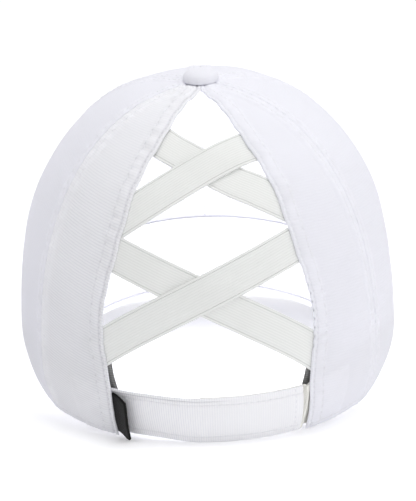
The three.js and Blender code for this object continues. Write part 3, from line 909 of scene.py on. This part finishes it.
def place_tab(column, row):
    bearing = tab_start + (tab_end - tab_start) * column / TAB_COLUMNS
    rise = rise_at_height(bearing, CLOSURE_RIM_INSET + SEAM_GAP + tab_heights[row])
    shown = smooth(bearing, strap_end, strap_end + bearing_of(MM))
    shown = shown * (1 - smooth(bearing, rim_edge - bearing_of(2 * MM), rim_edge))
    edge = np.minimum(tab_heights[row], tab_heights[-1] - tab_heights[row])
    length = (bearing - tab_start) * CROWN_BACK_DEPTH
    return off_crown(bearing, rise, TAB_BULGE * shown - TUCKED_DEPTH), edge, (length, tab_heights[row]), {}


tab, tab_edge = cloth_sheet("loop_closure_tab", TAB_COLUMNS, len(tab_heights) - 1, place_tab)
add_wall(tab, TAB_WALL, tab_edge, STRAP_ROLL)
loop_weave = (0.9 * MM, 0.3, 0.1 * MM, 0.8 * MM, 0.05 * MM)
tab.data.materials.append(weave_material("cream_brushed_loop", "#F6F5EC", "#FDFCF6", *loop_weave, 1.0, 0.2))
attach(tab, "root")
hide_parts("closure_tab")


# Sweatband. A folded band of soft jersey runs round the inside of the rim, from one side of the closure to
# the other, and is sewn on along the rim. It is grey on the outer faces of its two ends, and white
# elsewhere. Its end corners are cut back.
BAND_HEIGHT = 33 * MM
BAND_WALL = 1.2 * MM
BAND_RIM_INSET = 1.5 * MM
BAND_SHOW = 2.2 * MM
BAND_CUT = 1.6
BAND_EASE = 20 * MM
BAND_COLUMNS = 220
BAND_ROWS = 30
BAND_END_CROWDING = 0.15
BAND_DEPTH = TUCKED_DEPTH + SEAM_GAP + 0.1 * MM
BAND_END_DEPTH = TUCKED_DEPTH + ELASTIC_WALL + CLOSURE_WALL + 2 * LAYER_GAP + 0.1 * MM
BAND_ROLL = 0.6 * MM
BAND_GREY_REACH = -0.07
band_clear = rim_edge + bearing_of(CLOSURE_TUCK + BAND_SHOW)


def place_band(column, row):
    up = 0.5 - 0.5 * np.cos(row / BAND_ROWS * math.pi)
    share = column / BAND_COLUMNS
    share = share + BAND_END_CROWDING * (0.5 - 0.5 * np.cos(share * math.pi) - share)
    end = rim_edge - bearing_of(BAND_SHOW) * (1 - BAND_CUT * smooth(up, 0.5, 1))
    bearing = end + (2 * math.pi - 2 * end) * share
    height = FRONT_ARCH * front_share(bearing) + BAND_RIM_INSET + BAND_HEIGHT * up
    rise = rise_at_height(bearing, height)
    from_closure = np.minimum(bearing, 2 * math.pi - bearing)
    inwards = 1 - smooth(from_closure, band_clear, band_clear + bearing_of(BAND_EASE))
    depth = BAND_DEPTH + (BAND_END_DEPTH - BAND_DEPTH) * inwards
    stand = creases(on_crown(bearing, rise), 25 * MM, 0.1 * MM)
    length = (bearing - end) * CROWN_BACK_DEPTH
    from_end = (2 * math.pi - end - bearing) * CROWN_BACK_DEPTH
    edge = np.minimum.reduce((BAND_HEIGHT * up, BAND_HEIGHT * (1 - up), length, from_end))
    return off_crown(bearing, rise, stand - depth), edge, (length, BAND_HEIGHT * up), {}


def jersey(name, low, high):
    return weave_material(name, low, high, 1.1 * MM, 0, 0.1 * MM, 0.9 * MM, 0.03 * MM, 0.9, 0.0)


band, band_edge = cloth_sheet("jersey_sweatband", BAND_COLUMNS, BAND_ROWS, place_band)
outer_faces = len(band.data.polygons)
add_wall(band, BAND_WALL, band_edge, BAND_ROLL)
band.data.materials.append(jersey("grey_jersey", "#70706F", "#939391"))
band.data.materials.append(jersey("white_jersey", "#F0F0F2", "#FBFBFC"))
for face in band.data.polygons[: 2 * outer_faces]:
    face.material_index = int(face.index >= outer_faces or face.center[1] > BAND_GREY_REACH)
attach(band, "root")
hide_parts("sweatband")


# Side label. A folded satin ribbon, black and bare, is sewn in at the edge of the left panel. Its free edge
# stands out over the strap.
LABEL_WIDTH = 8.6 * MM
LABEL_HEIGHT = 21.2 * MM
LABEL_WALL = 1.2 * MM
LABEL_ROLL = 0.4 * MM
LABEL_RIM_INSET = 2.2 * MM
LABEL_FLARE = 3.6 * MM
LABEL_DROOP = 2 * MM
LABEL_CURL = 1.5
LABEL_COLUMNS = 24
LABEL_ROWS = 40


def place_label(column, row):
    across, up = column / LABEL_COLUMNS, row / LABEL_ROWS
    height = LABEL_RIM_INSET + LABEL_HEIGHT * up - LABEL_DROOP * across
    rise = rise_at_height(-rim_edge * np.ones_like(across), height)
    bearing = bearing_of(SEAM_GAP + LABEL_WIDTH * across) - edge_bearing(rise)
    points = off_crown(bearing, rise, LABEL_FLARE * across**LABEL_CURL)
    points[:, 2] = np.maximum(points[:, 2], floor_height(points[:, 1]) + SEAM_GAP)
    edge = np.minimum(LABEL_HEIGHT * np.minimum(up, 1 - up), LABEL_WIDTH * (1 - across))
    return points, np.maximum(edge, 0.05 * MM), (across * LABEL_WIDTH, up * LABEL_HEIGHT), {}


label, label_edge = cloth_sheet("satin_side_label", LABEL_COLUMNS, LABEL_ROWS, place_label)
add_wall(label, LABEL_WALL, label_edge, LABEL_ROLL)
satin_weave = (0.35 * MM, 0.6, 0.02 * MM, 0.3 * MM, 0.01 * MM)
satin = weave_material("black_satin_ribbon", "#0B0B0A", "#141413", *satin_weave, 0.5, 0.0)
satin.node_tree.nodes["Principled BSDF"].inputs["Sheen Weight"].default_value = 0
satin.node_tree.nodes["Principled BSDF"].inputs["Specular IOR Level"].default_value = 0.08
label.data.materials.append(satin)
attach(label, "root")
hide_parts("side_label")


# Button. A flat metal dome covered with the crown's cloth closes the top, where the panels meet. Its shank
# goes through the hole between them.
BUTTON_RADIUS = 8.0 * MM
BUTTON_HEIGHT = 4.8 * MM
BUTTON_UNDERSIDE = 0.5 * MM
BUTTON_LIFT = 0.65 * MM
BUTTON_ROUNDNESS = 0.62
BUTTON_CROWN = 0.8
BUTTON_SIDES = 72
BUTTON_RINGS = 48

bpy.ops.mesh.primitive_uv_sphere_add(segments=BUTTON_SIDES, ring_count=BUTTON_RINGS, radius=1)
dome = bpy.context.active_object
dome.name = dome.data.name = "cloth_button"
dome_at = corners_of(dome)
level = dome_at[:, 2]
ring = np.linalg.norm(dome_at[:, :2], axis=1)
turn = np.arctan2(dome_at[:, 1], dome_at[:, 0])
radius = np.where(ring > 1e-6, BUTTON_RADIUS * np.maximum(ring, 1e-6) ** BUTTON_ROUNDNESS, 0)
above = BUTTON_HEIGHT * np.clip(level, 0, 1) ** BUTTON_CROWN
dome_height = np.where(level < 0, BUTTON_UNDERSIDE * level, above) + CROWN_HEIGHT + BUTTON_LIFT
dome_points = np.stack((radius * np.cos(turn), radius * np.sin(turn), dome_height), -1)
set_corners(dome, to_row(dome_points))
lay_threads(dome, dome_points[:, [1, 0]], {"pressed": np.ones(len(dome_at))})
bpy.ops.object.shade_smooth()
dome.data.materials.append(ottoman)
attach(dome, "root")
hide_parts("button")


# Brim. A stiff bent board covered with the crown's cloth above and below, with rows of stitching round it.
# It is sewn into the front of the rim.
BRIM_LENGTH = 70 * MM
BRIM_HALF_WIDTH = 87 * MM
BRIM_WALL = 3 * MM
BRIM_SPAN = math.radians(75)
BRIM_BEND = 146.5 * MM
BRIM_SLOPE = math.radians(14.6)
BRIM_ROUNDNESS = 2.3
BRIM_CORNER_TUCK = 0.08
BRIM_CORNER_REACH = 8
BRIM_SEAT = 0.5 * MM
BRIM_ROLL = 1.4 * MM
BRIM_STITCHES = [(4 + 6.5 * i) * MM for i in range(7)]
BRIM_STITCH_DEPTH = 0.22 * MM
BRIM_STITCH_SHADE = 0.16
BRIM_THREAD_STOP = 3 * MM
BRIM_MARKS = edge_marks(BRIM_ROLL) + [
    stitch + d * MM for stitch in BRIM_STITCHES for d in (-2.2, -1.2, -0.55, -0.25, 0, 0.25, 0.55, 1.2, 2.2)
]
BRIM_COLUMNS = 200
BRIM_CROWDING = 0.9
BRIM_PLAIN_ROWS = 16
BRIM_ROWS = len(BRIM_MARKS) - 1 + BRIM_PLAIN_ROWS
rim_front = on_crown(math.pi, -1.0)
brim_corner = on_crown(math.pi - BRIM_SPAN, -1.0)


def bent_sheet(x, y):
    """Height of the bent board's upper face."""
    sag = BRIM_BEND - np.sqrt(BRIM_BEND**2 - x**2)
    return rim_front[2] - SEAM_GAP - math.tan(BRIM_SLOPE) * (y - rim_front[1]) - sag


def on_brim(side, out, stand):
    """Points of the brim. side is -1 at the left corner and 1 at the right, out 0 at the rim, 1 in front."""
    bearing = math.pi - side * BRIM_SPAN
    root = off_crown(bearing, -np.ones_like(side), -CLOTH_WALL * np.ones_like(side))
    root_height = FRONT_ARCH * front_share(bearing) + BRIM_SEAT
    turn = side * QUARTER
    power = 2 / BRIM_ROUNDNESS
    forward = rim_front[1] + BRIM_LENGTH - brim_corner[1] - SEAM_GAP
    draw_in = 1 - BRIM_CORNER_TUCK * np.abs(side) ** BRIM_CORNER_REACH
    edge_x = BRIM_HALF_WIDTH * np.sign(turn) * np.abs(np.sin(turn)) ** power * draw_in
    edge_y = brim_corner[1] + SEAM_GAP + forward * np.maximum(np.cos(turn), 0) ** power
    x = root[..., 0] + (edge_x - root[..., 0]) * out
    y = root[..., 1] + (edge_y - root[..., 1]) * out
    z = bent_sheet(x, y) + (root_height - bent_sheet(root[..., 0], root[..., 1])) * (1 - out)
    fall = x / np.sqrt(BRIM_BEND**2 - x**2)
    normal = unit(np.stack((fall, np.full_like(x, math.tan(BRIM_SLOPE)), np.ones_like(x)), -1))
    return np.stack((x, y, z), -1) + normal * np.asarray(stand)[..., None]


def place_brim(column, row):
    side = 2 * column / BRIM_COLUMNS - 1
    side = np.sin(side * QUARTER * BRIM_CROWDING) / math.sin(QUARTER * BRIM_CROWDING)
    ones = np.ones_like(side)
    length = np.linalg.norm(on_brim(side, ones, 0 * ones) - on_brim(side, 0 * ones, 0 * ones), axis=-1)
    marks = np.array(BRIM_MARKS)
    squeeze = np.minimum(1, length / (marks[-1] * 1.15))
    marked = marks[np.minimum(BRIM_ROWS - row, len(marks) - 1)] * squeeze
    beyond = np.maximum(BRIM_ROWS - row - len(marks) + 1, 0) / BRIM_PLAIN_ROWS
    edge = marked + (length - marked) * beyond
    in_stitches = sum(near(edge, stitch, 0.45 * MM) for stitch in BRIM_STITCHES)
    # Painted shade along the brim's stitch rows.
    crease_shade = BRIM_STITCH_SHADE * sum(near(edge, stitch, 0.4 * MM) for stitch in BRIM_STITCHES)
    points = on_brim(side, 1 - edge / length, -BRIM_STITCH_DEPTH * in_stitches)
    edge = np.minimum(edge, length - edge + 0.1 * MM)
    return points, edge, (points[:, 0], points[:, 1]), {"crease_shade": crease_shade}


board, board_edge = cloth_sheet("cloth_brim", BRIM_COLUMNS, BRIM_ROWS, place_brim)
board_lines = corners_of(board).reshape(BRIM_ROWS + 1, BRIM_COLUMNS + 1, 3).transpose(1, 0, 2)[:, ::-1]
from_front = np.linalg.norm(board_lines - board_lines[:, :1], axis=-1)
for stitch in BRIM_STITCHES:
    long_enough = np.flatnonzero(from_front[:, -1] > stitch + BRIM_THREAD_STOP)
    points = [
        [np.interp(stitch, from_front[line], board_lines[line, :, axis]) for axis in range(3)]
        for line in long_enough
    ]
    normals = np.tile((0.0, 0.0, 1.0), (len(points), 1))
    thread_lines.setdefault("brim", []).append((np.array(points), normals))
add_wall(board, BRIM_WALL, board_edge, BRIM_ROLL)
board.data.materials.append(ottoman)
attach(board, "root")
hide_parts("brim")


# Sewing thread. White polyester thread lies in the grooves of every seam, hem and edge as short stitches,
# each a little sunk into the cloth at its ends.
STITCH_PITCH = 2.7 * MM
STITCH_LENGTH = 2.15 * MM
STITCH_WIDTH = 0.5 * MM
STITCH_HEIGHT = 0.2 * MM
STITCH_SIDES = 6
STITCH_RINGS = 5


def sew(node, lines):
    """Lays stitches of equal length along lines on one piece of cloth."""
    places, aheads, normals = [], [], []
    for points, line_normals in lines:
        lengths = lengths_along(points)
        count = int(lengths[-1] / STITCH_PITCH)
        middles = (np.arange(count) + 0.5) * lengths[-1] / count

        def at(where, values):
            return np.stack([np.interp(where, lengths, values[:, axis]) for axis in range(3)], -1)

        places.append(at(middles, points))
        aheads.append(unit(at(middles + MM, points) - at(middles - MM, points)))
        normals.append(unit(at(middles, line_normals)))
    place, ahead, normal = (np.concatenate(part)[:, None] for part in (places, aheads, normals))
    aside = unit(np.cross(normal, ahead))
    bpy.ops.mesh.primitive_uv_sphere_add(segments=STITCH_SIDES, ring_count=STITCH_RINGS, radius=1)
    thread = bpy.context.active_object
    thread.name = thread.data.name = f"stitches_{node}"
    grain = corners_of(thread)
    apply_modifier(thread, "ARRAY", count=len(place))
    along, across, up = (grain[None, :, axis, None] for axis in range(3))
    flat = ahead * along * STITCH_LENGTH / 2 + aside * across * STITCH_WIDTH / 2
    set_corners(thread, (place + flat + normal * up * STITCH_HEIGHT).reshape(-1, 3))
    bpy.ops.object.shade_smooth()
    thread.data.materials.append(sewing_thread)
    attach(thread, "root")
    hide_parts(node)


sewing_thread = new_material("white_sewing_thread")
fuzz = add_node(sewing_thread, "TexNoise", {"Scale": 900, "Detail": 1})
thread_tones = {0: fuzz, 6: linear("#E8E8EE"), 7: linear("#FCFCFF")}
thread_colour = add_node(sewing_thread, "Mix", thread_tones, data_type="RGBA").outputs[2]
thread_shader = add_node(sewing_thread, "BsdfPrincipled", {"Base Color": thread_colour, "Roughness": 0.6})
add_node(sewing_thread, "OutputMaterial", {"Surface": thread_shader})
for node, lines in thread_lines.items():
    sew(node, lines)
